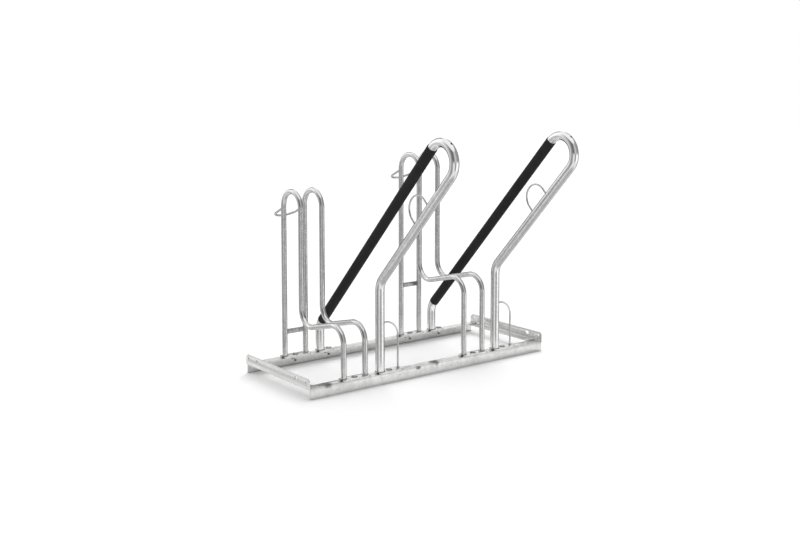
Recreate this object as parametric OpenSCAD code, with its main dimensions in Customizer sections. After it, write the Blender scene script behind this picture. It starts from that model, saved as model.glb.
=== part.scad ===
// Bicycle floor stand with two places, one low and one high, of bent steel tube on an angle-iron base.
// Millimetres, +Z up. The origin is on the floor, under the middle of the whole rack.
// The front, where the wheels roll in, is towards -Y. The low place is on the left, towards -X.

/* [Base frame] */
// Length over the outer faces of the two end bars
rack_length = 1000; // [980:10:1200]
// Depth over the outer faces of the two rails
rack_depth = 390; // [380:5:430]
// Width of both flanges of the angle iron
angle_leg = 35; // [33:1:40]
// Thickness of the angle iron
angle_wall = 4; // [3:0.5:5]
// Inside radius between the two flanges
angle_root = 4.5; // [3:0.5:6]
// Rounding of the inner edge of each flange
angle_toe = 2; // [1:0.5:2.5]
// Size of the chamfer on the top corners of the end bars
end_bar_chamfer = 10; // [4:1:14]
// Diameter of the round joining holes in the end bars
joining_hole_d = 9; // [6:0.5:11]
// Distance of the round joining holes from the ends of the end bars
joining_hole_inset = 17.5; // [14:0.5:25]
// Height of all end-bar holes above the floor
end_hole_height = 54; // [50:0.5:56]
// Length of the slots in the end bars
slot_length = 18; // [12:1:30]
// Height of the slots in the end bars
slot_height = 11; // [7:0.5:12]
// Distance of the slots from the ends of the end bars
slot_inset = 75; // [55:1:110]

/* [Places] */
// Distance between the two places
place_pitch = 500; // [470:10:600]
// How much higher the wheel loops of the right place stand
tier_step = 100; // [20:5:160]
// Left wheel loop, measured from the centre of its place
left_loop_x = -108; // [-112:1:-100]
// Distance between the centre lines of the two wheel loops
loop_spacing = 83; // [78:1:86]
// Leaning hoop, measured from the centre of its place
hoop_x = 35; // [32:1:45]
// Foot of the lower lock bow, measured from the leaning hoop
lock_bow_reach = 72.5; // [68:0.5:85]

/* [Wheel loops] */
// Outside diameter of the wheel loop tube
loop_tube_d = 18; // [14:0.5:20]
// Wall of the wheel loop tube
loop_tube_wall = 2; // [1:0.25:3]
// Overall height of the loops of the low place
loop_top = 620; // [560:5:680]
// Bend radius of the loops on the centre line
loop_bend = 54; // [45:1:56]
// Height of the lower rear corner of the low loops, on the centre lines
loop_rear_corner = 156; // [140:1:180]
// Height of the front corner of the low loops, on the centre lines
loop_front_corner = 216; // [200:1:235]

/* [Leaning hoops] */
// Outside diameter of the hoop tube
hoop_tube_d = 30; // [26:1:34]
// Wall of the hoop tube
hoop_tube_wall = 2; // [1:0.25:3.5]
// Overall height of the hoops
hoop_top = 820; // [760:5:880]
// Bend radius of the hoops on the centre line
hoop_bend = 60; // [56:1:64]
// Lean of the hoop arms above the horizontal, in degrees
hoop_lean = 46.5; // [44:0.5:49]
// Height of the front corner of the hoops, on the centre lines
hoop_front_corner = 330; // [310:5:350]
// Diameter of the vent hole at the top of each hoop
vent_hole_d = 8; // [4:0.5:10]
// Turn of the vent hole along the top bend, from the front arm towards the back arm, in degrees
vent_turn = 5; // [0:1:30]
// Outside diameter of the frame guard sleeve
sleeve_d = 34; // [32:0.5:40]

/* [Wire parts and cross parts] */
// Diameter of the wire of the lock eyes and lock bows
lock_wire_d = 6; // [4:0.5:8]
// Distance of the upper lock eye from the front corner of the hoop, to the middle of the eye
lock_eye_at = 327; // [260:1:400]
// Radius of the upper lock eye on the wire centre line
lock_eye_radius = 45; // [30:1:50]
// Straight part of the upper lock eye, measured from the hoop centre line
lock_eye_straight = 35; // [20:1:42]
// Height at which the lower lock bow leaves the hoop leg
lock_bow_height = 200; // [150:5:260]
// Bend radius of the lower lock bow
lock_bow_bend = 50; // [30:1:52]
// Diameter of the rod of the spacer bow
spacer_rod_d = 8; // [6:0.5:10]
// Height at which the spacer bow of the low place leaves the legs
spacer_height = 553; // [480:1:556]
// Straight part of the spacer bow, measured from the leg centre lines
spacer_straight = 50; // [30:1:90]
// Downward slope of the spacer bow, in degrees
spacer_slope = 26; // [0:1:40]
// Height of the cross strip between the back legs of the low place
cross_strip_z = 123.5; // [90:0.5:160]
// Width of the cross strip, measured upright
cross_strip_width = 16; // [10:1:22]
// Thickness of the cross strip
cross_strip_wall = 6; // [3:0.5:8]

/* [Foot plates, bolts and welds] */
// Thickness of the foot plates
plate_wall = 5; // [3:0.5:6]
// Width of the foot plates, which end in half circles
plate_width = 35; // [31:1:35]
// Diameter of the bolts
bolt_d = 8; // [6:0.5:8]
// Diameter of the bolt heads
bolt_head_d = 20; // [16:0.5:21]
// Height of the bolt heads
bolt_head_h = 4; // [2.5:0.5:6]
// Length of the bolts under their heads
bolt_length = 25; // [22:1:30]
// Distance of the hoop bolts from the centre line of the hoop
hoop_bolt_x = 36.3; // [34:0.1:42]
// Leg length of the weld fillet round the feet
weld_leg = 2; // [1:0.25:2]
// Width of the drain slots in the foot plates
drain_width = 8; // [4:0.5:10]
// Turn of the drain slots from the left towards the front, in degrees
drain_turn = 30; // [0:5:45]

/* [Part to draw] */
// Which part to draw

/* [Hidden] */
$fn = 64;
half_length = rack_length / 2;
half_depth = rack_depth / 2;
rail_half = half_length - angle_wall;
flange_edge = half_depth - angle_leg;
leg_y = half_depth - angle_leg / 2;
rail_top = angle_leg;
foot_z = rail_top + plate_wall;
low_x = -place_pitch / 2;
high_x = place_pitch / 2;
bar_bottom = rail_top - angle_wall;
bar_top = bar_bottom + angle_leg;

// Wheel loop, as straight lengths and bends from the back foot to the front foot
loop_return_y = leg_y - 2 * loop_bend;
loop_run_y = loop_return_y + leg_y;
loop_run_z = loop_front_corner - loop_rear_corner;
loop_turn = 90 + atan2(loop_run_z, loop_run_y);
loop_take = loop_bend * tan(loop_turn / 2);
loop_arc_z = loop_top - loop_tube_d / 2 - loop_bend;
loop_up = loop_arc_z - foot_z;
loop_down = loop_arc_z - loop_rear_corner - loop_take;
loop_run = norm([loop_run_y, loop_run_z]) - 2 * loop_take;
loop_front = loop_front_corner - loop_take - foot_z;

// Leaning hoop, in the frame of its front arm: along the arm, and across it to the back arm
hoop_turn = 90 - hoop_lean;
hoop_take = hoop_bend * tan(hoop_turn / 2);
hoop_rise = hoop_top - hoop_tube_d / 2 - hoop_bend - hoop_front_corner - hoop_bend * cos(hoop_lean);
hoop_arm = hoop_rise / sin(hoop_lean);
hoop_back_z = hoop_front_corner + (2 * hoop_bend - 2 * leg_y * sin(hoop_lean)) / cos(hoop_lean);
hoop_back_s = (hoop_back_z - hoop_front_corner) * sin(hoop_lean) - 2 * leg_y * cos(hoop_lean);
hoop_back_up = hoop_back_z - hoop_take - foot_z;
hoop_back_arm = hoop_arm - hoop_back_s - hoop_take;
hoop_front_arm = hoop_arm - hoop_take;
hoop_front_down = hoop_front_corner - hoop_take - foot_z;

// The base stands this far behind the middle of the whole rack, because the hoops lean out in front
front_reach = leg_y + hoop_arm * cos(hoop_lean) - hoop_bend * sin(hoop_lean) + hoop_bend + hoop_tube_d / 2;
back_reach = leg_y + (spacer_straight + loop_spacing / 2) * cos(spacer_slope) + spacer_rod_d / 2;
base_y = round(5 * (front_reach - back_reach)) / 10;

loop_bolt_x = loop_spacing / 2;
washer_wall = 1.6;
washer_d = 16;
nut_flats = 13;
nut_height = 6.5;
bolt_end = foot_z - bolt_length;
bend_thinning = 0.1;
bend_lap = 1;

zinc = [0.72, 0.73, 0.73];
zinc_dull = [0.64, 0.65, 0.65];
black = [0.12, 0.12, 0.12];

// Moves a piece from the middle of the base to the middle of the whole rack
module base_frame() {
  translate([0, base_y, 0]) children();
}

// Round section of a tube, or of a solid rod where the wall is 0
module ring(od, wall) {
  difference() {
    circle(d = od);
    if (wall > 0) circle(d = od - 2 * wall);
  }
}

module straight_piece(od, wall, length) {
  linear_extrude(height = length) ring(od, wall);
}

// One bend, starting upwards at the origin and turning towards +Y, or towards -Y for a negative turn
module bend_piece(od, wall, turn, radius) {
  side = turn > 0 ? 1 : -1;
  translate([0, side * radius, 0])
    rotate([90, 0, -90 * side])
      rotate_extrude(angle = abs(turn))
        translate([radius, 0]) ring(od, wall);
}

// A bent tube that starts upwards at the origin. Each step is a straight length, a turn and its radius.
// Bends are drawn a little thinner than the straights, which reach a short way over them.
module bent_tube(od, wall, steps, i = 0) {
  if (i < len(steps)) {
    length = steps[i][0];
    turn = steps[i][1];
    radius = steps[i][2];
    before = i > 0 ? bend_lap : 0;
    after = turn != 0 ? bend_lap : 0;
    translate([0, 0, -before]) straight_piece(od, wall, before + length + after);
    if (turn != 0) {
      translate([0, 0, length]) {
        bend_piece(od - bend_thinning, wall > 0 ? wall - bend_thinning : 0, turn, radius);
        translate([0, sign(turn) * radius * (1 - cos(turn)), radius * sin(abs(turn))])
          rotate([-turn, 0, 0]) bent_tube(od, wall, steps, i + 1);
      }
    }
  }
}

// Angle iron section with its outer corner at the origin and a flange along each axis
module angle_section() {
  difference() {
    square([angle_leg, angle_leg]);
    translate([angle_wall + angle_root, angle_wall]) square([angle_leg, angle_leg]);
    translate([angle_wall, angle_wall + angle_root]) square([angle_leg, angle_leg]);
    translate([angle_wall + angle_root, angle_wall + angle_root]) circle(r = angle_root);
    translate([angle_leg - angle_toe, angle_wall - angle_toe]) toe_cut();
    translate([angle_wall - angle_toe, angle_leg - angle_toe]) toe_cut();
  }
}

module toe_cut() {
  difference() {
    square([angle_toe + 1, angle_toe + 1]);
    circle(r = angle_toe);
  }
}

// Holes for all bolts of one rail, at y = 0
module rail_bolt_holes() {
  for (x = [low_x, high_x]) {
    for (dx = [left_loop_x + loop_bolt_x, hoop_x + hoop_bolt_x]) {
      translate([x + dx, 0, bar_bottom - 5]) cylinder(d = bolt_d + 1, h = angle_wall + 10);
    }
  }
}

module front_rail() {
  color(zinc) base_frame() difference() {
    translate([rail_half, -half_depth, rail_top])
      rotate([-90, 0, 90]) linear_extrude(height = 2 * rail_half) angle_section();
    translate([0, -leg_y, 0]) rail_bolt_holes();
  }
}

module back_rail() {
  color(zinc) base_frame() difference() {
    translate([-rail_half, half_depth, rail_top])
      rotate([-90, 0, -90]) linear_extrude(height = 2 * rail_half) angle_section();
    translate([0, leg_y, 0]) rail_bolt_holes();
  }
}

// Left end bar: its lower flange lies between the rails, its upright flange closes their ends
module end_bar() {
  color(zinc) base_frame() difference() {
    translate([-half_length, half_depth, bar_bottom])
      rotate([90, 0, 0]) linear_extrude(height = rack_depth) angle_section();
    for (side = [-1, 1]) {
      translate([-rail_half, side > 0 ? flange_edge : -half_depth - 1, bar_bottom - 1])
        cube([angle_leg, angle_leg + 1, angle_leg + 2]);
      translate([-half_length - 1, 0, 0]) rotate([90, 0, 90]) linear_extrude(height = angle_wall + 2)
        polygon([
          [side * (half_depth - end_bar_chamfer - 1), bar_top + 1],
          [side * (half_depth + 1), bar_top + 1],
          [side * (half_depth + 1), bar_top - end_bar_chamfer - 1]
        ]);
      translate([-half_length - 1, side * (half_depth - joining_hole_inset), end_hole_height])
        rotate([0, 90, 0]) cylinder(d = joining_hole_d, h = angle_wall + 2);
      translate([-half_length - 1, side * (half_depth - slot_inset), end_hole_height]) end_slot();
    }
  }
}

module end_slot() {
  half = (slot_length - slot_height) / 2;
  translate([0, -half, -slot_height / 2]) cube([angle_wall + 2, 2 * half, slot_height]);
  for (y = [-half, half]) {
    translate([0, y, 0]) rotate([0, 90, 0]) cylinder(d = slot_height, h = angle_wall + 2);
  }
}

module left_end_bar() {
  end_bar();
}

module right_end_bar() {
  mirror([1, 0, 0]) end_bar();
}

// Weld beads over the joints of the flanges, and fillets where the rail tops meet the end bars
module end_bar_welds() {
  color(zinc_dull) base_frame() for (side_x = [0, 1]) {
    mirror([side_x, 0, 0]) for (side = [-1, 1]) {
      intersection() {
        translate([-rail_half, side * flange_edge, rail_top - 2.5])
          rotate([0, 90, 0]) cylinder(r = 4, h = angle_leg - angle_wall);
        translate([-half_length, side * flange_edge - 5, rail_top])
          cube([angle_leg, 10, 5]);
        translate([-rail_half + angle_root + 0.5, side * flange_edge - 5, rail_top])
          cube([angle_leg, 10, 5]);
      }
      translate([-rail_half, side > 0 ? half_depth - 2 : -flange_edge - 4, rail_top])
        rotate([90, 0, 0]) linear_extrude(height = angle_leg - 6)
          polygon([[0, 0], [4, 0], [0, 4]]);
    }
  }
}

// Feet of the tubes stand at these distances from the centre of the place
left_x = left_loop_x;
right_x = left_loop_x + loop_spacing;
lock_x = hoop_x + lock_bow_reach;

module wheel_loop(x, lift) {
  color(zinc) base_frame() translate([x, leg_y, foot_z])
    bent_tube(loop_tube_d, loop_tube_wall, [
      [loop_up + lift, -180, loop_bend],
      [loop_down, loop_turn, loop_bend],
      [loop_run, -loop_turn, loop_bend],
      [loop_front + lift, 0, 0]
    ]);
}

module leaning_hoop(x) {
  color(zinc) base_frame() difference() {
    translate([x, leg_y, foot_z])
      bent_tube(hoop_tube_d, hoop_tube_wall, [
        [hoop_back_up, -hoop_turn, hoop_bend],
        [hoop_back_arm, -180, hoop_bend],
        [hoop_front_arm, hoop_turn, hoop_bend],
        [hoop_front_down, 0, 0]
      ]);
    in_hoop_plane(x) translate([0, hoop_bend, hoop_arm]) rotate([-vent_turn, 0, 0])
      translate([0, 0, hoop_bend]) cylinder(d = vent_hole_d, h = hoop_tube_d);
  }
}

// Frame of the hoop arms: origin in the front corner, +Z along the front arm, +Y towards the back arm
module in_hoop_plane(x) {
  translate([x, -leg_y, hoop_front_corner]) rotate([hoop_turn, 0, 0]) children();
}

module frame_guard_sleeve(x) {
  color(black) base_frame() in_hoop_plane(x)
    translate([0, 2 * hoop_bend, hoop_back_s + hoop_take])
      straight_piece(sleeve_d, (sleeve_d - hoop_tube_d) / 2, hoop_back_arm);
}

module upper_lock_eye(x) {
  color(zinc) base_frame() in_hoop_plane(x) difference() {
    translate([0, 0, lock_eye_at - lock_eye_radius]) rotate([-90, 0, 0])
      bent_tube(lock_wire_d, 0, [[lock_eye_straight, -180, lock_eye_radius], [lock_eye_straight, 0, 0]]);
    translate([0, 0, lock_eye_at - 100]) cylinder(d = hoop_tube_d, h = 200);
  }
}

module lower_lock_bow(x) {
  color(zinc) base_frame() difference() {
    translate([x, -leg_y, lock_bow_height]) rotate([-90, 0, -90])
      bent_tube(lock_wire_d, 0, [
        [lock_bow_reach - lock_bow_bend, 90, lock_bow_bend],
        [lock_bow_height - lock_bow_bend - foot_z, 0, 0]
      ]);
    translate([x, -leg_y, lock_bow_height - 20]) cylinder(d = hoop_tube_d, h = 40);
  }
}

module spacer_bow(x, lift) {
  color(zinc) base_frame() difference() {
    translate([x, leg_y, spacer_height + lift]) rotate([-spacer_slope, 0, 0]) rotate([-90, -90, 0])
      bent_tube(spacer_rod_d, 0, [[spacer_straight, 180, loop_spacing / 2], [spacer_straight, 0, 0]]);
    for (dx = [0, loop_spacing]) {
      translate([x + dx, leg_y, spacer_height + lift - 40]) cylinder(d = loop_tube_d, h = 80);
    }
  }
}

module cross_strip(x, lift) {
  color(zinc) base_frame() difference() {
    translate([x, leg_y - cross_strip_wall / 2, cross_strip_z + lift - cross_strip_width / 2])
      cube([loop_spacing, cross_strip_wall, cross_strip_width]);
    for (dx = [0, loop_spacing]) {
      translate([x + dx, leg_y, cross_strip_z + lift - 40]) cylinder(d = loop_tube_d, h = 80);
    }
  }
}

// Foot plate on a rail, from its first tube to the middle of its right end, with one bolt hole. A slot
// from under the first tube to the edge lets the zinc run out of it.
module foot_plate(x, y, length, bolt_x) {
  color(zinc) base_frame() translate([x, y, rail_top]) linear_extrude(height = plate_wall) difference() {
    union() {
      circle(d = plate_width);
      translate([0, -plate_width / 2]) square([length, plate_width]);
      translate([length, 0]) circle(d = plate_width);
    }
    translate([bolt_x, 0]) circle(d = bolt_d + 1);
    rotate(180 + drain_turn) {
      circle(d = drain_width);
      translate([0, -drain_width / 2]) square([plate_width, drain_width]);
    }
  }
}

// Weld round a foot
module foot_weld(x, y, od, leg) {
  translate([x, y, foot_z]) rotate_extrude()
    polygon([
      [od / 2, 0], [od / 2 + leg, 0], [od / 2 + leg * 0.8, leg * 0.55], [od / 2 + 0.3, leg], [od / 2, leg]
    ]);
}

module foot_welds(x) {
  color(zinc_dull) base_frame() {
    for (side = [-1, 1]) {
      foot_weld(x + left_x, side * leg_y, loop_tube_d, weld_leg);
      foot_weld(x + right_x, side * leg_y, loop_tube_d, weld_leg);
      foot_weld(x + hoop_x, side * leg_y, hoop_tube_d, weld_leg + 0.5);
    }
    foot_weld(x + lock_x, -leg_y, lock_wire_d, weld_leg);
  }
}

// Places one child at each of the eight bolts
module at_bolts() {
  for (x = [low_x, high_x]) {
    for (dx = [left_x + loop_bolt_x, hoop_x + hoop_bolt_x]) {
      for (y = [-leg_y, leg_y]) {
        translate([x + dx, y, 0]) children();
      }
    }
  }
}

// Flat domed head above the plate, round shank through plate and rail
module carriage_bolt() {
  rim = 1;
  dome = bolt_head_h - rim;
  sphere_r = (bolt_head_d * bolt_head_d / 4 + dome * dome) / (2 * dome);
  translate([0, 0, bolt_end]) cylinder(d = bolt_d, h = foot_z - bolt_end + 0.5);
  translate([0, 0, foot_z]) cylinder(d = bolt_head_d, h = rim);
  intersection() {
    translate([0, 0, foot_z + bolt_head_h - sphere_r]) sphere(r = sphere_r);
    translate([0, 0, foot_z + rim]) cylinder(d = bolt_head_d, h = dome + 1);
  }
}

module carriage_bolts() {
  color(zinc_dull) base_frame() at_bolts() carriage_bolt();
}

module bolt_washers() {
  color(zinc_dull) base_frame() at_bolts() translate([0, 0, bar_bottom - washer_wall]) difference() {
    cylinder(d = washer_d, h = washer_wall);
    translate([0, 0, -1]) cylinder(d = bolt_d + 0.4, h = washer_wall + 2);
  }
}

module bolt_nuts() {
  bottom = bar_bottom - washer_wall - nut_height;
  color(zinc_dull) base_frame() at_bolts() translate([0, 0, bottom]) difference() {
    cylinder(d = nut_flats / cos(30), h = nut_height, $fn = 6);
    translate([0, 0, -1]) cylinder(d = bolt_d, h = nut_height + 2);
  }
}

module low_left_wheel_loop() {
  wheel_loop(low_x + left_x, 0);
}

module low_right_wheel_loop() {
  wheel_loop(low_x + right_x, 0);
}

module low_cross_strip() {
  cross_strip(low_x + left_x, 0);
}

module low_spacer_bow() {
  spacer_bow(low_x + left_x, 0);
}

module low_loop_front_plate() {
  foot_plate(low_x + left_x, -leg_y, loop_spacing, loop_bolt_x);
}

module low_loop_back_plate() {
  foot_plate(low_x + left_x, leg_y, loop_spacing, loop_bolt_x);
}

module low_leaning_hoop() {
  leaning_hoop(low_x + hoop_x);
}

module low_frame_guard_sleeve() {
  frame_guard_sleeve(low_x + hoop_x);
}

module low_hoop_front_plate() {
  foot_plate(low_x + hoop_x, -leg_y, lock_bow_reach, hoop_bolt_x);
}

module low_hoop_back_plate() {
  foot_plate(low_x + hoop_x, leg_y, hoop_bolt_x, hoop_bolt_x);
}

module low_upper_lock_eye() {
  upper_lock_eye(low_x + hoop_x);
}

module low_lower_lock_bow() {
  lower_lock_bow(low_x + hoop_x);
}

module low_foot_welds() {
  foot_welds(low_x);
}

module high_left_wheel_loop() {
  wheel_loop(high_x + left_x, tier_step);
}

module high_right_wheel_loop() {
  wheel_loop(high_x + right_x, tier_step);
}

module high_cross_strip() {
  cross_strip(high_x + left_x, tier_step);
}

module high_spacer_bow() {
  spacer_bow(high_x + left_x, tier_step);
}

module high_loop_front_plate() {
  foot_plate(high_x + left_x, -leg_y, loop_spacing, loop_bolt_x);
}

module high_loop_back_plate() {
  foot_plate(high_x + left_x, leg_y, loop_spacing, loop_bolt_x);
}

module high_leaning_hoop() {
  leaning_hoop(high_x + hoop_x);
}

module high_frame_guard_sleeve() {
  frame_guard_sleeve(high_x + hoop_x);
}

module high_hoop_front_plate() {
  foot_plate(high_x + hoop_x, -leg_y, lock_bow_reach, hoop_bolt_x);
}

module high_hoop_back_plate() {
  foot_plate(high_x + hoop_x, leg_y, hoop_bolt_x, hoop_bolt_x);
}

module high_upper_lock_eye() {
  upper_lock_eye(high_x + hoop_x);
}

module high_lower_lock_bow() {
  lower_lock_bow(high_x + hoop_x);
}

module high_foot_welds() {
  foot_welds(high_x);
}

front_rail();
back_rail();
left_end_bar();
right_end_bar();
end_bar_welds();
low_left_wheel_loop();
low_right_wheel_loop();
low_cross_strip();
low_spacer_bow();
low_loop_front_plate();
low_loop_back_plate();
low_leaning_hoop();
low_frame_guard_sleeve();
low_hoop_front_plate();
low_hoop_back_plate();
low_upper_lock_eye();
low_lower_lock_bow();
low_foot_welds();
high_left_wheel_loop();
high_right_wheel_loop();
high_cross_strip();
high_spacer_bow();
high_loop_front_plate();
high_loop_back_plate();
high_leaning_hoop();
high_frame_guard_sleeve();
high_hoop_front_plate();
high_hoop_back_plate();
high_upper_lock_eye();
high_lower_lock_bow();
high_foot_welds();
carriage_bolts();
bolt_washers();
bolt_nuts();
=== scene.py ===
# %% [markdown]
# # A galvanised bicycle stand
# Two places stand on one base of angle iron, a low one on the left and a high one on the right.
# Each place has two wheel loops of thin tube, a leaning hoop of thicker tube with a black sleeve,
# and a few bent wires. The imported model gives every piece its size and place, and this lesson
# models each piece again with smooth bends, soft edges, rippled welds and a zinc finish.

# %% Load the frame
import bpy
import math
from mathutils import Matrix, Vector


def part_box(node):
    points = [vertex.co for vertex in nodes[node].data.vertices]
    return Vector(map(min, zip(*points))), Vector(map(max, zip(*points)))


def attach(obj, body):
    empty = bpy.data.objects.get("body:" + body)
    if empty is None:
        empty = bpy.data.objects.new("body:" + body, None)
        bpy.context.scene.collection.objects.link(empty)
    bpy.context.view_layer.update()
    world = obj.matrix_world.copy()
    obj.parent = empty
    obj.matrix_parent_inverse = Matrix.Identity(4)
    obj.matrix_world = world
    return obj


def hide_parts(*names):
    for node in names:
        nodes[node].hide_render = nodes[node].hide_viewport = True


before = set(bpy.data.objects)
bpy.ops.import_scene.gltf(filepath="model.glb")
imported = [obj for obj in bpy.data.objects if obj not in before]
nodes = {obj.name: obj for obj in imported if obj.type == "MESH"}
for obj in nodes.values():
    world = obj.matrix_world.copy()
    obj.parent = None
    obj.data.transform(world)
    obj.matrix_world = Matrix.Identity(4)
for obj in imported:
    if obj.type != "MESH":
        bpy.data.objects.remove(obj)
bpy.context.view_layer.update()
scene = bpy.context.scene
print("nodes in the frame:", len(nodes))

# %% [markdown]
# ## The sizes that everything shares
# The rack is set out like the real one: tube diameters, bend radii, and the places of the feet.
# They are kept in metres, in the frame's own axes: X along the rails, -Y to the front and Z up.
# The middle of the base lies a little behind the middle of the whole rack, because the hoops lean
# out over the front rail. The rows of feet stand LEG_Y in front of that middle and behind it, and
# the tubes' places along the rails are measured from the middle of their own place. The high
# place's loops are lifted by the second number of its pair.

# %% Base and feet
BASE_DEPTH = 0.390
BASE_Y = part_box("front_rail")[0].y + BASE_DEPTH / 2
RAIL_TOP = 0.035
PLATE = 0.005
FOOT_Z = RAIL_TOP + PLATE
LEG_Y = 0.1775
PLACES = {"low": (-0.250, 0.0), "high": (0.250, 0.100)}
LEFT_LOOP_X = -0.108
LOOP_GAP = 0.083
HOOP_X = 0.035
print("middle of the base at y =", round(BASE_Y, 4), "and feet at z =", round(FOOT_Z, 4))

# %% Tubes
LOOP_R = 0.009
HOOP_R = 0.015
SLEEVE_R = 0.017
TUBE_WALL = 0.002
LOOP_BEND = 0.054
HOOP_BEND = 0.060
HOOP_LEAN = math.radians(46.5)
UP = Vector((0, 0, 1))
BACK = Vector((0, 1, 0))
RIGHT = Vector((1, 0, 0))
print("loops of", 2 * LOOP_R, "and hoops of", 2 * HOOP_R, "metres across")

# %% [markdown]
# ## How a tube is bent
# A tube bender clamps a straight tube and pulls it round a former. The same is done here: a ring of
# points is extruded for each straight and spun about the centre of each bend. A curve with a bevel
# would be quicker, but the ring leaves clean quads and lets the bends be finished apart from
# the straights. The path is also kept, so that the finish can ask how near a point is to a bend.
# Operators act on all that is selected, so every step starts by selecting nothing.

# %% Selecting
def deselect():
    """Leaves edit mode and selects nothing."""
    if bpy.context.object and bpy.context.object.mode != "OBJECT":
        bpy.ops.object.mode_set(mode="OBJECT")
    bpy.ops.object.select_all(action="DESELECT")


def only(obj):
    """Selects one object alone and makes it the active one."""
    deselect()
    obj.select_set(True)
    bpy.context.view_layer.objects.active = obj


deselect()
print("objects still selected:", len(bpy.context.selected_objects))

# %% Closing a tube
MERGE = 0.00001


def close_tube(tube, wall):
    """Merges the rings, turns the faces outwards, and gives the tube a wall or closed ends."""
    bpy.ops.mesh.select_all(action="SELECT")
    bpy.ops.mesh.remove_doubles(threshold=MERGE)
    bpy.ops.mesh.normals_make_consistent(inside=False)
    if not wall:
        bpy.ops.mesh.select_all(action="DESELECT")
        bpy.ops.mesh.select_non_manifold()
        bpy.ops.mesh.fill_holes(sides=0)
        bpy.ops.mesh.select_all(action="SELECT")
        bpy.ops.mesh.normals_make_consistent(inside=False)
    bpy.ops.object.mode_set(mode="OBJECT")
    bpy.ops.object.transform_apply(location=True, rotation=True, scale=True)
    if wall:
        solid = tube.modifiers.new("wall", "SOLIDIFY")
        solid.thickness = wall
        solid.offset = -1
        bpy.ops.object.modifier_apply(modifier=solid.name)


print("points merge within", MERGE, "metres")

# %% The tube bender
SIDES = 32
SPIN_DEGREES = 6
FEWEST_SPINS = 6


def bend_tube(name, start, heading, side, radius, steps, wall=0.0, sides=SIDES):
    """Extrudes and spins a ring along steps of (straight, turn in degrees, bend radius).

    A turn above 0 goes to the given side. Without a wall the ends are closed, as on a rod."""
    deselect()
    heading, side, place = heading.normalized(), side.normalized(), start.copy()
    bpy.ops.mesh.primitive_circle_add(
        vertices=sides, radius=radius, location=place,
        rotation=heading.to_track_quat("Z", "Y").to_euler())
    tube = bpy.context.object
    tube.name = name
    path = []
    bpy.ops.object.mode_set(mode="EDIT")
    for straight, turn, bend in steps:
        bpy.ops.mesh.extrude_region_move(TRANSFORM_OT_translate={"value": heading * straight})
        path.append((place.copy(), place + heading * straight, False))
        place = place + heading * straight
        if turn:
            centre = place + side * bend * (1 if turn > 0 else -1)
            axis = heading.cross(side)
            count = max(FEWEST_SPINS, round(abs(turn) / SPIN_DEGREES))
            bpy.ops.mesh.spin(steps=count, angle=-math.radians(turn), center=centre, axis=axis)
            for _ in range(count):
                part = Matrix.Rotation(math.radians(turn) / count, 3, axis)
                ahead = centre + part @ (place - centre)
                path.append((place.copy(), ahead.copy(), True))
                place = ahead
            whole = Matrix.Rotation(math.radians(turn), 3, axis)
            heading, side = whole @ heading, whole @ side
    close_tube(tube, wall)
    return tube, path, place


print("tube bender ready, rings of", SIDES, "points")

# %% Marking the bends
BEND_BLEND = 0.004


def distance_to(point, legs):
    """How far a point is from the nearest leg of a path."""
    gaps = []
    for start, end in legs:
        along = end - start
        share = max(0.0, min(1.0, (point - start).dot(along) / along.length_squared))
        gaps.append((point - start - along * share).length)
    return min(gaps)


def mark_bends(piece, path):
    """Writes how far each point of the mesh belongs to a bend, from 0 on the straights to 1."""
    mark = piece.data.attributes.new("bend", "FLOAT", "POINT")
    straights = [(start, end) for start, end, bent in path if not bent]
    bends = [(start, end) for start, end, bent in path if bent]
    for vertex in piece.data.vertices:
        gap = distance_to(vertex.co, straights) - distance_to(vertex.co, bends)
        mark.data[vertex.index].value = max(0.0, min(1.0, gap / BEND_BLEND))


print("bend marks fade over", BEND_BLEND, "metres")

# %% Handing a piece over
def finish_piece(piece, material, slot, *replaced, smooth=40):
    """Smooths a piece, gives it its finish, and lets it ride on the rack in place of its nodes."""
    only(piece)
    bpy.ops.object.shade_smooth_by_angle(angle=math.radians(smooth))
    piece.data.materials.clear()
    piece.data.materials.append(material)
    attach(piece, "root")
    if replaced:
        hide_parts(*replaced)


print("finished pieces ride on the root")

# %% [markdown]
# ## Short words for shader nodes
# A finish is a small net of nodes, and adding each node, setting it and linking it takes many
# lines. The functions below do that in one call: an input is given either a plain value or the
# output of another node. They are the few kinds of node that every finish here is made of.

# %% Adding a node
def empty_tree(owner):
    """The node tree of a material or of the world, with nothing in it."""
    owner.use_nodes = True
    owner.node_tree.nodes.clear()
    return owner.node_tree


def add_node(tree, kind, inputs=None, **options):
    """Adds a node, sets its options and feeds its inputs."""
    node = tree.nodes.new(kind)
    for option, value in options.items():
        setattr(node, option, value)
    for key, value in (inputs or {}).items():
        if isinstance(value, bpy.types.NodeSocket):
            tree.links.new(value, node.inputs[key])
        else:
            node.inputs[key].default_value = value
    return node


print("materials before the first finish:", len(bpy.data.materials))

# %% Nodes for numbers
def combine(tree, kind, a, b):
    """The sum, product or other result of two numbers."""
    return add_node(tree, "ShaderNodeMath", {0: a, 1: b}, operation=kind).outputs[0]


def between(tree, value, low, high, start=0.0, end=1.0):
    """Turns a value that goes from low to high into one that goes from start to end."""
    inputs = {"Value": value, "From Min": low, "From Max": high, "To Min": start, "To Max": end}
    return add_node(tree, "ShaderNodeMapRange", inputs).outputs[0]


print("number nodes: combine and between")

# %% Nodes for colours
def colour(tone):
    """A full colour from a grey or from a triple; the output of a node stays as it is."""
    if isinstance(tone, bpy.types.NodeSocket):
        return tone
    return (*tone, 1) if isinstance(tone, tuple) else (tone, tone, tone, 1)


def mix(tree, share, a, b, kind="MIX"):
    """Mixes two colours or greys by a share."""
    inputs = {"Factor": share, "A": colour(a), "B": colour(b)}
    node = add_node(tree, "ShaderNodeMix", inputs, data_type="RGBA", blend_type=kind)
    return node.outputs["Result"]


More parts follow.
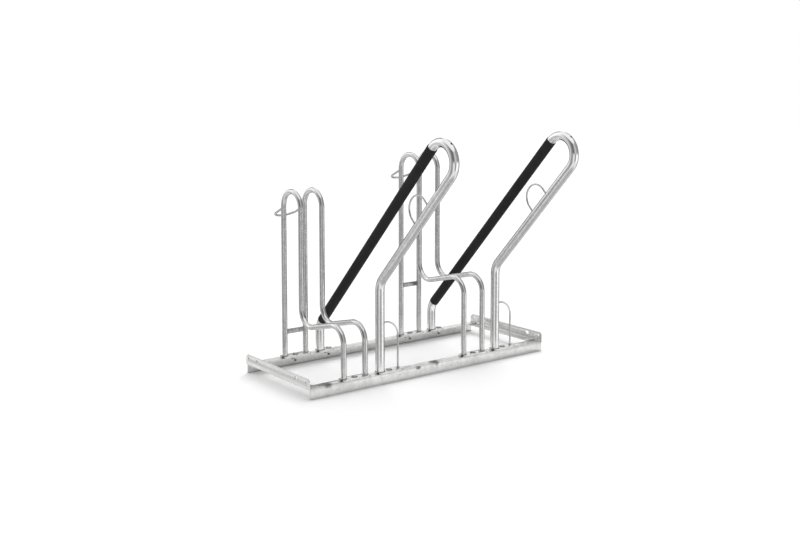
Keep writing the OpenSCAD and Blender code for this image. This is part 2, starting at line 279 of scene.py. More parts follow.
def tones(tree, value, stops):
    """A colour ramp through stops of (position, tone), read at the given value."""
    node = add_node(tree, "ShaderNodeValToRGB", {0: value})
    elements = node.color_ramp.elements
    for element, (position, tone) in zip(elements, (stops[0], stops[-1])):
        element.position, element.color = position, colour(tone)
    for position, tone in stops[1:-1]:
        elements.new(position).color = colour(tone)
    return node.outputs["Color"]


print("a grey of 0.5 as a colour:", colour(0.5))

# %% Nodes for patterns
def mapping(tree, where, location=(0, 0, 0), rotation=(0, 0, 0), scale=(1, 1, 1), kind="POINT"):
    """Moves, turns and stretches the place where a pattern is read."""
    inputs = {0: where, "Location": location, "Rotation": rotation, "Scale": scale}
    return add_node(tree, "ShaderNodeMapping", inputs, vector_type=kind).outputs[0]


def noise(tree, where, scale, detail, roughness=0.5):
    """Soft noise from 0 to 1."""
    inputs = {"Vector": where, "Scale": scale, "Detail": detail, "Roughness": roughness}
    return add_node(tree, "ShaderNodeTexNoise", inputs).outputs["Fac"]


print("pattern nodes: mapping and noise")

# %% Nodes for surfaces
def bump(tree, height, strength, distance):
    """A surface direction that is roughened by a height."""
    inputs = {"Height": height, "Strength": strength, "Distance": distance}
    return add_node(tree, "ShaderNodeBump", inputs).outputs[0]


def surface(tree, inputs):
    """The shader of a solid piece, led to the material's output."""
    shader = add_node(tree, "ShaderNodeBsdfPrincipled", inputs)
    add_node(tree, "ShaderNodeOutputMaterial", {0: shader.outputs[0]})


print("surface nodes: bump and surface")

# %% [markdown]
# ## The zinc finish
# The steel is dipped in molten zinc after it is bent and welded. The layer freezes in crystals, so
# the straights are mottled in pale and darker grey, while bends stay smoother and shine. An image
# of real zinc would need a file and a seam round every tube, so the pattern is built from noise in
# the frame's own axes: broad clouds, upright streaks, crystals from a Voronoi texture, and a fine
# grain that also roughens the surface. The mark left by the tube bender blends in the shinier
# finish of the bends.

# %% Zinc pattern
CLOUDS = 26
STREAKS = 60
CRYSTALS = 150
GRAINS = 330
STREAK_SHIFT = (3, 1, 2)
STREAK_STRETCH = (1, 1, 0.22)


def zinc_pattern(tree, where, grain, crystal):
    """The mottle of frozen zinc, in spots per metre; a higher grain gives finer spots."""
    cloud = between(tree, noise(tree, where, CLOUDS * grain, 5, 0.6), 0.30, 0.70)
    upright = mapping(tree, where, location=STREAK_SHIFT, scale=STREAK_STRETCH)
    streak = between(tree, noise(tree, upright, STREAKS * grain, 3, 0.6), 0.35, 0.65)
    fine = between(tree, noise(tree, where, GRAINS * grain, 2, 0.6), 0.30, 0.70)
    cells = add_node(tree, "ShaderNodeTexVoronoi", {"Vector": where, "Scale": CRYSTALS * grain})
    facet = add_node(tree, "ShaderNodeSeparateColor", {0: cells.outputs["Color"]}).outputs[0]
    pattern = combine(tree, "MULTIPLY", cloud, 0.30)
    for layer, share in ((streak, 0.30), (facet, crystal), (fine, 0.10)):
        pattern = combine(tree, "ADD", pattern, combine(tree, "MULTIPLY", layer, share))
    return pattern, cloud, streak, fine


print("zinc pattern: clouds, streaks, crystals and grain")

# %% [markdown]
# ## Dark patches on the front rail
# The front rail has a few darker patches, two on the top of the rail and one on its front face.
# Each is a ball in the rail's own coordinates, stretched to the reach of the patch, and the streaks
# of the pattern make its edge ragged. Painting them by hand would need an image, which the lesson
# does without.

# %% Dark patches
# Darker patches on the front rail: a grey, and a middle and a reach for each patch.
PATCH_GREY = (0.22, 0.22, 0.215)
FRONT_FLANGE_Y = BASE_Y - 0.178
FRONT_FACE_Y = BASE_Y - BASE_DEPTH / 2
DARK_PATCHES = [((-0.432, FRONT_FLANGE_Y, RAIL_TOP), (0.024, 0.020, 0.010)),
          ((0.010, FRONT_FLANGE_Y, RAIL_TOP), (0.020, 0.018, 0.010)),
          ((-0.068, FRONT_FACE_Y, 0.032), (0.010, 0.010, 0.007))]


def darken_patch(tree, where, paint, streak, middle, reach):
    """Darkens the paint towards a grey in a ragged patch round a place on the piece."""
    spot = mapping(tree, where, location=middle, scale=reach, kind="TEXTURE")
    away = add_node(tree, "ShaderNodeVectorMath", {0: spot}, operation="LENGTH").outputs["Value"]
    edge = combine(tree, "ADD", away, combine(tree, "MULTIPLY", streak, 0.5))
    return mix(tree, between(tree, edge, 1.5, 0.9), paint, PATCH_GREY)


print("stains:", len(DARK_PATCHES))

# %% [markdown]
# ## Mixing the zinc
# One function mixes every zinc finish between a dark and a light grey. Tubes and wires ask for
# their bends to be marked. The bolts' round heads get painted shade: their colour darkens with
# the slope of the surface, so they are pale on top and dark round their edge. A finish for each
# kind of steel could be made by hand, but one recipe keeps them alike and lets a single number set
# them apart.

# %% Zinc material
BEND_CALM = 0.75
BEND_PALE = 0.76
BEND_SHINE = 0.52
HEAD_SIDE, HEAD_TOP = 0.74, 0.90
ROUGH_SPREAD = 0.07
BUMP_HEIGHT = 0.0006


def zinc(name, dark, light, rough, grain, metal=1.0, crystal=0.35, bends=False, flank_shade=0.0,
         bump_strength=0.10, patches=()):
    """A galvanised finish between two greys, as rough and as finely grained as asked.

    Crystal is the share of the crystals, bends asks for the shinier marks of the tube bender,
    the side share paints shade on what does not face up, and darker patches are pairs of a middle
    and a reach."""
    mat = bpy.data.materials.new(name)
    tree = empty_tree(mat)
    where = add_node(tree, "ShaderNodeTexCoord").outputs["Object"]
    pattern, cloud, streak, fine = zinc_pattern(tree, where, grain, crystal)
    if bends:
        bend = add_node(tree, "ShaderNodeAttribute", attribute_name="bend").outputs["Fac"]
        plain = combine(tree, "SUBTRACT", 1.0, combine(tree, "MULTIPLY", bend, BEND_CALM))
        pattern = combine(tree, "MULTIPLY", pattern, plain)
        pattern = combine(tree, "ADD", pattern, combine(tree, "MULTIPLY", bend, BEND_PALE))
    # Painted shade: the colour darkens where the surface turns away from straight up, as on the
    # sides of the bolt heads.
    if flank_shade:
        normal = add_node(tree, "ShaderNodeNewGeometry").outputs["Normal"]
        upward = add_node(tree, "ShaderNodeSeparateXYZ", {0: normal}).outputs[2]
        side = between(tree, upward, HEAD_SIDE, HEAD_TOP, flank_shade, 0.0)
        pattern = combine(tree, "SUBTRACT", pattern, side)
    paint = tones(tree, pattern, ((0.12, dark), (0.95, light)))
    for middle, reach in patches:
        paint = darken_patch(tree, where, paint, streak, middle, reach)
    gloss = between(tree, pattern, 0.0, 1.0, rough + ROUGH_SPREAD, rough - ROUGH_SPREAD)
    if bends:
        shine = combine(tree, "MULTIPLY", bend, rough * BEND_SHINE)
        gloss = combine(tree, "SUBTRACT", gloss, shine)
    grains = combine(tree, "MULTIPLY", fine, 0.5)
    height = combine(tree, "ADD", grains, combine(tree, "MULTIPLY", cloud, 0.8))
    surface(tree, {"Base Color": paint, "Metallic": metal, "Roughness": gloss,
                   "Normal": bump(tree, height, bump_strength, BUMP_HEIGHT)})
    return mat


print("zinc can be mixed")

# %% Zinc of tubes and wires
tube_zinc = zinc("zinc_on_tube", (0.53, 0.53, 0.525), (0.81, 0.815, 0.81),
                 rough=0.28, grain=1.5, bends=True)
hoop_zinc = zinc("zinc_on_hoop", (0.70, 0.70, 0.695), (0.92, 0.925, 0.92),
                 rough=0.19, grain=1.3, bends=True)
wire_zinc = zinc("zinc_on_wire", (0.42, 0.42, 0.415), (0.70, 0.705, 0.70),
                 rough=0.22, grain=1.0, bends=True)
print("finishes so far:", len(bpy.data.materials))

# %% Zinc of angle iron, strips, welds and bolts
iron_zinc = zinc("zinc_on_angle_iron", (0.64, 0.64, 0.63), (0.85, 0.85, 0.84),
                 rough=0.18, grain=0.8, metal=0.8, bump_strength=0.06, patches=DARK_PATCHES)
bar_zinc = zinc("zinc_on_end_bar", (0.70, 0.70, 0.69), (0.80, 0.80, 0.79),
                rough=0.26, grain=0.8, metal=0.85, crystal=0.10, bump_strength=0.02)
strip_zinc = zinc("zinc_on_strip", (0.26, 0.26, 0.255), (0.56, 0.56, 0.55),
                  rough=0.34, grain=2.2, metal=0.9)
weld_zinc = zinc("zinc_on_weld", (0.34, 0.34, 0.33), (0.62, 0.62, 0.61),
                 rough=0.34, grain=1.6, metal=0.9)
# The bolt heads carry painted shade on their sloping sides.
head_zinc = zinc("zinc_on_bolt_heads", (0.20, 0.20, 0.195), (0.76, 0.76, 0.75),
                 rough=0.24, grain=1.6, flank_shade=0.75)
nut_zinc = zinc("zinc_on_nuts", (0.50, 0.50, 0.49), (0.78, 0.78, 0.77), rough=0.24, grain=1.6)
print("finishes so far:", len(bpy.data.materials))

# %% [markdown]
# ## The black sleeve finish
# The sleeve is a length of matt black plastic pipe that keeps the hoop from scratching a frame.
# It is almost black, with a faint haze where it was handled and fine scratches along it. A
# plain black would look like a hole, so its grey moves a little and its gloss is uneven.

# %% Sleeve material
SCUFFS = 420
HAZES = 24
BLACKS = ((0.12, (0.017, 0.017, 0.0175)), (0.42, (0.027, 0.027, 0.0275)))


def black_plastic(name):
    """Matt black pipe, scuffed along the leaning arm."""
    mat = bpy.data.materials.new(name)
    tree = empty_tree(mat)
    where = add_node(tree, "ShaderNodeTexCoord").outputs["Object"]
    along = mapping(tree, where, rotation=(HOOP_LEAN - math.pi / 2, 0, 0), scale=(1, 1, 0.06))
    scuff = noise(tree, along, SCUFFS, 3)
    wear = combine(tree, "MULTIPLY", scuff, noise(tree, where, HAZES, 4))
    gloss = between(tree, wear, 0.0, 1.0, 0.72, 0.58)
    surface(tree, {"Base Color": tones(tree, wear, BLACKS), "Roughness": gloss,
                   "Specular IOR Level": 0.20, "Normal": bump(tree, scuff, 0.12, 0.0003)})
    return mat


sleeve_black = black_plastic("matt_black_sleeve")
print("sleeve finish:", sleeve_black.name)

# %% [markdown]
# ## Wheel loops
# A wheel loop starts at its back foot, rises to a half-round top, comes down again in front of
# itself, turns to the front on a gentle slope and ends in the front foot. It is bent from one
# tube, so it is modelled as one. The loops of the high place have longer legs. The slope runs from
# its rear corner up to its front corner, and each bend takes up a little of the straights beside
# its corner, so that length is worked out first.

# %% Shape of a wheel loop
LOOP_TOP = 0.620
LOOP_REAR_Z = 0.156
LOOP_FRONT_Z = 0.216
arc_z = LOOP_TOP - LOOP_R - LOOP_BEND
run_y = 2 * LEG_Y - 2 * LOOP_BEND
run_z = LOOP_FRONT_Z - LOOP_REAR_Z
loop_turn = 90 + math.degrees(math.atan2(run_z, run_y))
loop_take = LOOP_BEND * math.tan(math.radians(loop_turn) / 2)
print("loops turn by", round(loop_turn, 2), "degrees to the front")

# %% Bend the wheel loops
for place_name, (place_x, lift) in PLACES.items():
    for hand, loop_x in (("left", LEFT_LOOP_X), ("right", LEFT_LOOP_X + LOOP_GAP)):
        node = f"{place_name}_{hand}_wheel_loop"
        foot = Vector((place_x + loop_x, BASE_Y + LEG_Y, FOOT_Z))
        steps = [
            (arc_z - FOOT_Z + lift, -180, LOOP_BEND),
            (arc_z - LOOP_REAR_Z - loop_take, loop_turn, LOOP_BEND),
            (math.hypot(run_y, run_z) - 2 * loop_take, -loop_turn, LOOP_BEND),
            (LOOP_FRONT_Z - loop_take - FOOT_Z + lift, 0, 0),
        ]
        loop, path, end = bend_tube(f"{node}_tube", foot, UP, BACK, LOOP_R, steps, wall=TUBE_WALL)
        mark_bends(loop, path)
        finish_piece(loop, tube_zinc, "galvanised_tube", node)
        print(node, "ends at", [round(c, 4) for c in end], "points", len(loop.data.vertices))

# %% [markdown]
# ## Leaning hoops
# The hoop is the part a bicycle frame leans on and is locked to. It is bent from thicker tube: a
# leg at the back, a long arm that leans to the front, a half-round top, and the same way back
# down. The shape follows from the two feet, the lean and the height of the top, because both arms
# lie side by side, two bend radii apart. A small vent hole is drilled through the outer wall of
# the top, a little behind its tip, so a dark point shows there as on the real hoop.

# %% Shape of a hoop
HOOP_CORNER_Z = 0.330
HOOP_TOP = 0.820
ALONG = Vector((0, -math.cos(HOOP_LEAN), math.sin(HOOP_LEAN)))
ACROSS = Vector((0, math.sin(HOOP_LEAN), math.cos(HOOP_LEAN)))
hoop_turn = 90 - math.degrees(HOOP_LEAN)
hoop_take = HOOP_BEND * math.tan(math.radians(hoop_turn) / 2)
top_middle_z = HOOP_TOP - HOOP_R - HOOP_BEND
front_arm = (top_middle_z - HOOP_CORNER_Z - HOOP_BEND * ACROSS.z) / ALONG.z
back_corner_z = HOOP_CORNER_Z + (2 * HOOP_BEND - 2 * LEG_Y * ACROSS.y) / ACROSS.z
back_along = (back_corner_z - HOOP_CORNER_Z) * ALONG.z + 2 * LEG_Y * ALONG.y
back_arm = front_arm - back_along - hoop_take


def front_corner(place_x):
    """Where the middle lines of a hoop's front leg and front arm would meet."""
    return Vector((place_x + HOOP_X, BASE_Y - LEG_Y, HOOP_CORNER_Z))


print("front arm", round(front_arm, 4), "and back arm", round(back_arm, 4))

# %% Drilling
DRILL_SIDES = 24
VENT_R = 0.004
VENT_DEPTH = 0.020
VENT_TURN = math.radians(5)
VENT_OUT = ALONG * math.cos(VENT_TURN) + ACROSS * math.sin(VENT_TURN)


def drill(middle, direction, radius, length):
    """A cutter in the shape of a drill, centred on a point."""
    deselect()
    bpy.ops.mesh.primitive_cylinder_add(
        vertices=DRILL_SIDES, radius=radius, depth=length, location=middle,
        rotation=direction.to_track_quat("Z", "Y").to_euler())
    bpy.ops.object.transform_apply(location=True, rotation=True, scale=True)
    return bpy.context.object


def cut_away(piece, cutter):
    """Takes a cutter out of the piece and removes the cutter."""
    only(piece)
    cut = piece.modifiers.new("cut", "BOOLEAN")
    cut.operation = "DIFFERENCE"
    cut.solver = "EXACT"
    cut.object = cutter
    bpy.ops.object.modifier_apply(modifier=cut.name)
    bpy.data.objects.remove(cutter, do_unlink=True)


print("vent hole of", 2 * VENT_R, "metres")

# %% Bend the leaning hoops
HOOP_SIDES = 40

for place_name, (place_x, _) in PLACES.items():
    node = f"{place_name}_leaning_hoop"
    foot = Vector((place_x + HOOP_X, BASE_Y + LEG_Y, FOOT_Z))
    steps = [
        (back_corner_z - hoop_take - FOOT_Z, -hoop_turn, HOOP_BEND),
        (back_arm, -180, HOOP_BEND),
        (front_arm - hoop_take, hoop_turn, HOOP_BEND),
        (HOOP_CORNER_Z - hoop_take - FOOT_Z, 0, 0),
    ]
    hoop, path, end = bend_tube(f"{node}_tube", foot, UP, BACK, HOOP_R, steps,
                                wall=TUBE_WALL, sides=HOOP_SIDES)
    top_middle = front_corner(place_x) + ALONG * front_arm + ACROSS * HOOP_BEND
    vent = top_middle + VENT_OUT * (HOOP_BEND + HOOP_R)
    cut_away(hoop, drill(vent, VENT_OUT, VENT_R, VENT_DEPTH))
    mark_bends(hoop, path)
    finish_piece(hoop, hoop_zinc, "galvanised_tube", node)
    print(node, "ends at", [round(c, 4) for c in end], "points", len(hoop.data.vertices))

# %% [markdown]
# ## Frame guard sleeves
# The sleeve slides over the whole straight arm at the back of the hoop. It is a ring extruded
# along the arm, given a wall, and its cut ends get a small bevel, because a knife-cut plastic
# edge still catches a little light. The inside of its wall stays a hair off the hoop, so that the
# two never share a face.

# %% Breaking edges
def break_edges(piece, width, angle):
    """Gives a small bevel to the edges that are sharper than an angle in degrees."""
    only(piece)
    edge = piece.modifiers.new("broken_edge", "BEVEL")
    edge.width = width
    edge.segments = 2
    edge.limit_method = "ANGLE"
    edge.angle_limit = math.radians(angle)
    bpy.ops.object.modifier_apply(modifier=edge.name)


print("edges can be broken")

# %% Sleeves
SLEEVE_ROOM = 0.00005
SLEEVE_WALL = SLEEVE_R - HOOP_R - SLEEVE_ROOM
SLEEVE_SIDES = 48
SLEEVE_EDGE = 0.0006

for place_name, (place_x, _) in PLACES.items():
    node = f"{place_name}_frame_guard_sleeve"
    back_middle = front_corner(place_x) + ACROSS * 2 * HOOP_BEND
    start = back_middle + ALONG * (back_along + hoop_take)
    sleeve = bend_tube(f"{node}_pipe", start, ALONG, ACROSS, SLEEVE_R, [(back_arm, 0, 0)],
                       wall=SLEEVE_WALL, sides=SLEEVE_SIDES)[0]
    break_edges(sleeve, SLEEVE_EDGE, 40)
    finish_piece(sleeve, sleeve_black, "black_sleeve", node)
    print(node, "length", round(back_arm, 4), "points", len(sleeve.data.vertices))

# %% [markdown]
# ## Bent wires
# Three kinds of wire are welded to the tubes. The lock eye is a half ring on the inner side
# of the hoop's front arm, the lock bow reaches from the hoop's leg down to the plate, and the
# spacer bow ties the tops of both wheel loops together at the back. Each starts inside the wall
# of its tube, so that its cut end is hidden, as the weld hides it on the real one.

# %% Wire sizes
WIRE_SIDES = 20
WIRE_R = 0.003
IN_HOOP_WALL = 0.0135
IN_LOOP_WALL = 0.0078
EYE_ALONG = 0.327
EYE_BEND = 0.045
EYE_REACH = 0.035
BOW_Z = 0.200
BOW_BEND = 0.050
BOW_REACH = 0.0225
LOCK_FOOT_X = HOOP_X + BOW_REACH + BOW_BEND
SPACER_R = 0.004
SPACER_Z = 0.553
SPACER_REACH = 0.050
SPACER_SLOPE = math.radians(26)
print("lock bow stands at", round(LOCK_FOOT_X, 4), "from the middle of its place")

# %% Bend the wires
def bend_wire(node, form, start, heading, side, radius, steps):
    """Bends one wire and hands it over in place of its node."""
    wire, path, end = bend_tube(f"{node}_{form}", start, heading, side, radius, steps,
                                sides=WIRE_SIDES)
    mark_bends(wire, path)
    finish_piece(wire, wire_zinc, "galvanised_wire", node)
    print(node, "ends at", [round(c, 4) for c in end])


for place_name, (place_x, lift) in PLACES.items():
    arm_place = front_corner(place_x) + ALONG * (EYE_ALONG - EYE_BEND)
    eye_leg = EYE_REACH - IN_HOOP_WALL
    bend_wire(f"{place_name}_upper_lock_eye", "wire", arm_place + ACROSS * IN_HOOP_WALL,
              ACROSS, -ALONG, WIRE_R, [(eye_leg, -180, EYE_BEND), (eye_leg, 0, 0)])

    leg_place = Vector((place_x + HOOP_X + IN_HOOP_WALL, BASE_Y - LEG_Y, BOW_Z))
    bow_steps = [(BOW_REACH - IN_HOOP_WALL, 90, BOW_BEND), (BOW_Z - BOW_BEND - FOOT_Z, 0, 0)]
    bend_wire(f"{place_name}_lower_lock_bow", "wire", leg_place, RIGHT, -UP, WIRE_R, bow_steps)

    slope = Vector((0, math.cos(SPACER_SLOPE), -math.sin(SPACER_SLOPE)))
    loop_place = Vector((place_x + LEFT_LOOP_X, BASE_Y + LEG_Y, SPACER_Z + lift))
    rod_leg = SPACER_REACH - IN_LOOP_WALL
    bend_wire(f"{place_name}_spacer_bow", "rod", loop_place + slope * IN_LOOP_WALL,
              slope, RIGHT, SPACER_R, [(rod_leg, 180, LOOP_GAP / 2), (rod_leg, 0, 0)])

# %% [markdown]
# ## Rails, end bars, plates and bolts
# These pieces are sawn, punched and pressed, and their CAD solids already have every hole.
# A copy of each is merged, its flat faces are joined, and a small bevel breaks the sharp edges,
# because a dipped edge is never sharp. Modelling them anew would only repeat the solids. The foot
# plates end in half circles, and a slot under the left tube of each plate lets the zinc run out
# after dipping.

# %% Soft-edged copies
FLAT_WITHIN = math.radians(0.5)
SHARP = 35


def soft_copy(node, material, slot, width):
    """A merged copy of a CAD node with its sharp edges broken."""
    deselect()
    piece = nodes[node].copy()
    piece.data = nodes[node].data.copy()
    piece.name = f"{node}_piece"
    piece.parent = None
    scene.collection.objects.link(piece)
    only(piece)
    bpy.ops.object.mode_set(mode="EDIT")
    bpy.ops.mesh.select_all(action="SELECT")
    bpy.ops.mesh.remove_doubles(threshold=MERGE)
    bpy.ops.mesh.dissolve_limited(angle_limit=FLAT_WITHIN)
    bpy.ops.object.mode_set(mode="OBJECT")
    break_edges(piece, width, SHARP)
    finish_piece(piece, material, slot, node, smooth=30)


print("copies can be made of", len(nodes), "nodes")

# %% Rails, bars, plates, strips and bolts
FLAT_EDGE = 0.0003
BAR_EDGE = 0.0004
STRIP_EDGE = 0.0005
BOLT_EDGE = 0.0004

for node in ("front_rail", "back_rail"):
    soft_copy(node, iron_zinc, "galvanised_angle", FLAT_EDGE)
for node in ("left_end_bar", "right_end_bar"):
    soft_copy(node, bar_zinc, "galvanised_angle", BAR_EDGE)
for place_name in PLACES:
    for part in ("loop_front_plate", "loop_back_plate", "hoop_front_plate", "hoop_back_plate"):
        soft_copy(f"{place_name}_{part}", iron_zinc, "galvanised_angle", FLAT_EDGE)
    soft_copy(f"{place_name}_cross_strip", strip_zinc, "galvanised_angle", STRIP_EDGE)
soft_copy("carriage_bolts", head_zinc, "fastener", BOLT_EDGE)
for node in ("bolt_washers", "bolt_nuts"):
    soft_copy(node, nut_zinc, "fastener", BOLT_EDGE)

# %% [markdown]
# ## Welds
# A weld is laid in short overlapping pools, so its bead is rippled. A torus is a good start: every
# second ring of it is fattened, which gives the pools, and its lower part is flattened on the
# plate. Bump alone would leave the outline of the bead smooth. The beads of one place are joined,
# because their CAD node holds them together too. The short welds between rails and end bars are
# plain ridges, so they are soft-edged copies.

# %% Weld beads
LOOP_WELD = 0.0021
HOOP_WELD = 0.0026
BEAD_SIDES = 12
POOL_PITCH = 0.0022
FEWEST_RINGS = 16
RIPPLE = 0.00035
ABOVE_PLATE = 0.0001
RING_OUT, BEAD_THICK, BEAD_UP = 0.30, 0.68, 0.12


def weld_bead(foot_x, foot_y, tube_r, leg):
    """A rippled bead round a foot; its place and thickness are shares of its leg."""
    deselect()
    rings = max(FEWEST_RINGS, 2 * round(math.pi * (tube_r + leg / 2) / POOL_PITCH))
    bpy.ops.mesh.primitive_torus_add(
        major_segments=rings, minor_segments=BEAD_SIDES,
        major_radius=tube_r + leg * RING_OUT, minor_radius=leg * BEAD_THICK,
        location=(foot_x, BASE_Y + foot_y, FOOT_Z + leg * BEAD_UP))
    bead = bpy.context.object
    bpy.ops.object.transform_apply(location=True, rotation=True, scale=True)
    bpy.ops.object.mode_set(mode="EDIT")
    bpy.ops.mesh.select_all(action="DESELECT")
    bpy.ops.object.mode_set(mode="OBJECT")
    for vertex in bead.data.vertices:
        vertex.select = (vertex.index // BEAD_SIDES) % 2 == 0
    bpy.ops.object.mode_set(mode="EDIT")
    bpy.ops.transform.shrink_fatten(value=RIPPLE)
    bpy.ops.mesh.select_all(action="DESELECT")
    bpy.ops.object.mode_set(mode="OBJECT")
    for vertex in bead.data.vertices:
        vertex.co.z = max(vertex.co.z, FOOT_Z + ABOVE_PLATE)
    return bead


print("a pool every", POOL_PITCH, "metres")

# %% Weld every foot
for place_name, (place_x, _) in PLACES.items():
    beads = []
    for row_y in (-LEG_Y, LEG_Y):
        for foot_x, tube_r, leg in ((LEFT_LOOP_X, LOOP_R, LOOP_WELD),
                                    (LEFT_LOOP_X + LOOP_GAP, LOOP_R, LOOP_WELD),
                                    (HOOP_X, HOOP_R, HOOP_WELD)):
            beads.append(weld_bead(place_x + foot_x, row_y, tube_r, leg))
    beads.append(weld_bead(place_x + LOCK_FOOT_X, -LEG_Y, WIRE_R, LOOP_WELD))
    deselect()
    for bead in beads:
        bead.select_set(True)
    bpy.context.view_layer.objects.active = beads[0]
    bpy.ops.object.join()
    welds = bpy.context.object
    welds.name = f"{place_name}_foot_weld_beads"
    finish_piece(welds, weld_zinc, "zinc_weld", f"{place_name}_foot_welds", smooth=60)
    print(welds.name, "points", len(welds.data.vertices))

# %% Welds of the end bars
WELD_EDGE = 0.0006
soft_copy("end_bar_welds", weld_zinc, "zinc_weld", WELD_EDGE)

# %% [markdown]
# ## The white floor
# The stand is shown on a white sweep, where only soft shadows tell where the floor is. A white
# plane alone would look grey, and more light would bleach the zinc, so its paint depends on who
# looks. The camera and reflections see more than white, while the light that it throws up at the
# steel is that of a light grey floor. Close to a foot or a rail little light gets in, so a node
# that measures this shade draws a thin dark line there. In reflections the floor is solid only
# near the steel. A ray that has gone further passes through it to the pale ground of the room,
# which keeps the high arms of the hoops as light as on the real rack.

# %% Floor material
FLOOR_BOUNCE = 0.70
FLOOR_SEEN = 1.10
CONTACT_REACH = 0.022
CONTACT_GAIN = 0.95
CONTACT_LEAST = 0.12
SOLID_UP_TO = 0.18
GONE_FROM = 0.30


def white_sweep(name):
    """White paper with a dark line of shade where a piece comes close."""
    mat = bpy.data.materials.new(name)
    tree = empty_tree(mat)
    rays = add_node(tree, "ShaderNodeLightPath").outputs
    seen = combine(tree, "MAXIMUM", rays["Is Camera Ray"], rays["Is Glossy Ray"])
    paper = mix(tree, seen, FLOOR_BOUNCE, FLOOR_SEEN)
    contact = add_node(tree, "ShaderNodeAmbientOcclusion", {"Distance": CONTACT_REACH}, samples=8)
    open_air = combine(tree, "MULTIPLY", contact.outputs["AO"], CONTACT_GAIN)
    open_air = combine(tree, "ADD", open_air, CONTACT_LEAST)
    open_air = combine(tree, "MINIMUM", open_air, 1.0)
    paint = mix(tree, 1.0, paper, open_air, kind="MULTIPLY")
    matt = add_node(tree, "ShaderNodeBsdfDiffuse", {"Color": paint}).outputs[0]
    clear = add_node(tree, "ShaderNodeBsdfTransparent").outputs[0]
    far = between(tree, rays["Ray Length"], SOLID_UP_TO, GONE_FROM)
    gone = combine(tree, "MULTIPLY", far, rays["Is Glossy Ray"])
    both = add_node(tree, "ShaderNodeMixShader", {0: gone, 1: matt, 2: clear}).outputs[0]
    add_node(tree, "ShaderNodeOutputMaterial", {0: both})
    return mat


print("floor is solid in reflections up to", SOLID_UP_TO, "metres")

# %% Floor
deselect()
bpy.ops.mesh.primitive_plane_add(size=24, location=(0, 0, 0))
floor = bpy.context.object
floor.name = "studio_floor"
floor.data.materials.append(white_sweep("white_sweep"))
print("floor side:", round(floor.dimensions.x, 1))

# %% [markdown]
# ## The room
# Polished zinc mirrors the room it stands in, so the room is drawn in rings of grey: low walls
# with bright windows and dark gaps, a second ring above them, a pale ceiling, and a pale ground
# that darkens straight down. A picture of a real room would do the same, but it needs a file.
# Only reflections see the walls. The camera sees plain white, and the soft light that falls on
# everything is one even grey. Each stop of a wall is a share of the turn round the stand and a
# grey. The ceiling, the ground and the ground straight down are each a height where they begin,
# one where they are full, and a grey.

# %% Walls
LOW_WALLS = ((0.00, 0.25), (0.04, 0.50), (0.10, 0.95), (0.14, 0.85), (0.20, 0.22), (0.25, 0.45),
             (0.31, 1.30), (0.37, 1.20), (0.44, 0.55), (0.50, 0.40), (0.60, 0.10), (0.68, 0.10),
             (0.76, 0.40), (0.84, 0.65), (0.90, 0.60), (0.95, 0.30), (1.00, 0.25))
HIGH_WALLS = ((0.00, 0.25), (0.05, 0.14), (0.10, 0.14), (0.15, 0.30), (0.20, 0.60), (0.26, 0.55),
              (0.33, 0.30), (0.45, 0.30), (0.60, 0.35), (0.62, 1.00), (0.655, 1.00), (0.675, 0.30),
              (0.74, 0.42), (0.78, 1.15), (0.85, 1.15), (0.90, 0.70), (0.95, 0.40), (1.00, 0.25))
print("stops in the walls:", len(LOW_WALLS), "low and", len(HIGH_WALLS), "high")

# %% Room
HORIZON = (-0.08, 0.10)
CEILING = (0.68, 0.80, 0.95)
GROUND = (-0.45, -0.62, 0.82)
STRAIGHT_DOWN = (-0.75, -0.90, 0.50)
SOFT_LIGHT = 0.64
WHITE = 1.0

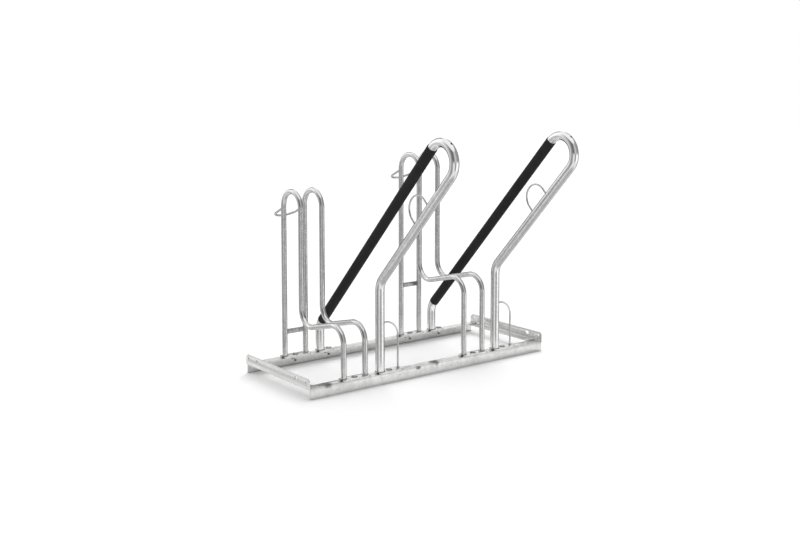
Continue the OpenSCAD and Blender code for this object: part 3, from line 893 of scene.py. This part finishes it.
world = bpy.data.worlds.new("studio")
scene.world = world
tree = empty_tree(world)
facing = add_node(tree, "ShaderNodeTexCoord").outputs["Generated"]
gradient = add_node(tree, "ShaderNodeTexGradient", {0: facing}, gradient_type="RADIAL")
turn = gradient.outputs["Color"]
rise = add_node(tree, "ShaderNodeSeparateXYZ", {0: facing}).outputs[2]
room = mix(tree, between(tree, rise, *HORIZON),
           tones(tree, turn, LOW_WALLS), tones(tree, turn, HIGH_WALLS))
for start, end, grey in (CEILING, GROUND, STRAIGHT_DOWN):
    room = mix(tree, between(tree, rise, start, end), room, grey)
rays = add_node(tree, "ShaderNodeLightPath").outputs
lit = mix(tree, rays["Is Glossy Ray"], SOFT_LIGHT, room)
seen = mix(tree, rays["Is Camera Ray"], lit, WHITE)
background = add_node(tree, "ShaderNodeBackground", {"Color": seen}).outputs[0]
add_node(tree, "ShaderNodeOutputWorld", {0: background})
print("nodes in the room:", len(tree.nodes))

# %% [markdown]
# ## Lamps
# A broad sun behind and to the right throws the soft shadows to the front left, and a weaker one
# at the front left fills them. Both are kept out of reflections, because the mirror image of a
# sun in a bevelled edge draws a white line along every rail, which the real rack doesn't have.

# %% Lamps
LAMP_AWAY = 3


def sun(name, toward, width, strength):
    """A soft sun that shines from the given side, as many degrees across as its width."""
    deselect()
    bpy.ops.object.light_add(type="SUN", location=Vector(toward) * LAMP_AWAY)
    light = bpy.context.object
    light.name = name
    light.data.angle = math.radians(width)
    light.data.energy = strength
    light.rotation_euler = Vector(toward).to_track_quat("Z", "Y").to_euler()
    light.visible_glossy = False


sun("key_behind_right", toward=(0.60, 0.50, 0.9), width=50, strength=1.15)
sun("fill_front_left", toward=(-0.6, -0.8, 0.8), width=60, strength=0.50)

# %% [markdown]
# ## Camera
# The photograph was taken from the front left and a little above, with upright lines kept almost
# upright. The camera gets the same place and angle of view, a small downward tilt and a modest
# vertical shift for the rest.

# %% Camera
CAMERA_PLACE = (-2.3432, -2.9292, 1.0495)
CAMERA_TILT = math.radians(90 - 5.5)
CAMERA_HEADING = -0.65088

camera_data = bpy.data.cameras.new("photo_camera")
camera = bpy.data.objects.new("photo_camera", camera_data)
scene.collection.objects.link(camera)
scene.camera = camera
camera_data.sensor_width = 36
camera_data.lens = 50.859
camera_data.shift_y = -0.1224
camera_data.clip_end = 60
camera.location = CAMERA_PLACE
camera.rotation_euler = (CAMERA_TILT, 0, CAMERA_HEADING)
scene.view_settings.view_transform = "Standard"
print("camera at", tuple(round(c, 3) for c in camera.location))
